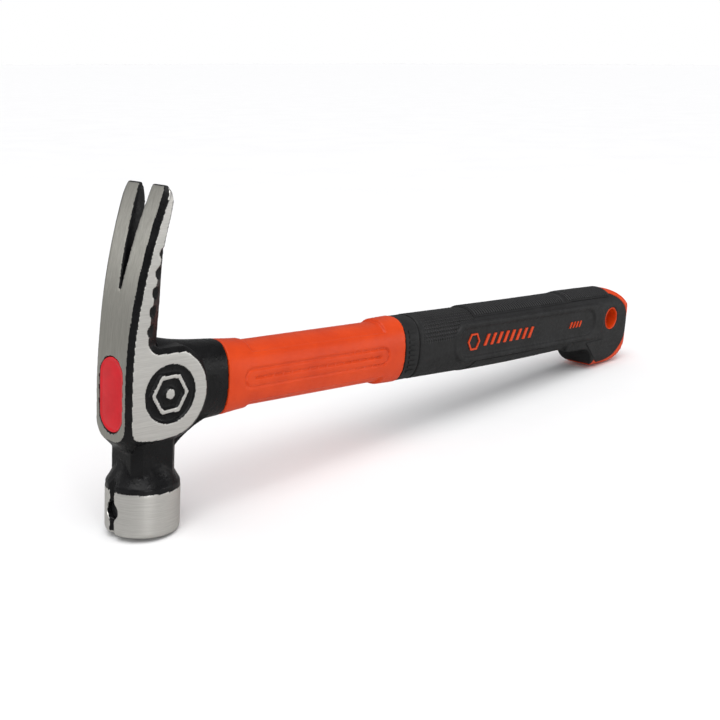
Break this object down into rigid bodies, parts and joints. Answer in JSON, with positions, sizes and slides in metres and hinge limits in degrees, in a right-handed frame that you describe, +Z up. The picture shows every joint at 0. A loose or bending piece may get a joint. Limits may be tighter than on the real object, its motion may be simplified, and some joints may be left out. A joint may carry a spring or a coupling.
{
  "type": "claw hammer",
  "caption": "Straight-claw hammer with a forged, part-ground steel head, orange moulded handle and a black soft grip with a hooked butt and hang hole.",
  "frame": {"origin": "centre of the floor area under the tool's box, the tool resting on the rim of its striking face and on its butt hook", "axes": "+X from the head to the butt, along the floor; +Y across the tool, towards its right side seen from the butt; +Z up, claws upwards"},
  "size_m": [0.3654, 0.029, 0.1343],
  "materials": {
    "head_steel": "forged and painted black, with ground bright cheeks, claws and bell",
    "plug_resin": "cast, glossy",
    "bond_resin": "cast, hidden in the eye",
    "magnet": "black plated disc",
    "glass_fibre": "pultruded rod, hidden",
    "orange_plastic": "moulded, semi-gloss",
    "grip_rubber": "moulded, matte with fine ribs"
  },
  "bodies": {
    "root": {"hammer_head": "head_steel", "eye_plug": "plug_resin", "eye_bond": "bond_resin", "starter_magnet": "magnet", "handle_core": "glass_fibre", "handle_jacket": "orange_plastic", "grip_sleeve": "grip_rubber", "panel_marks_left": "orange_plastic", "panel_marks_right": "orange_plastic"}
  },
  "joints": []
}
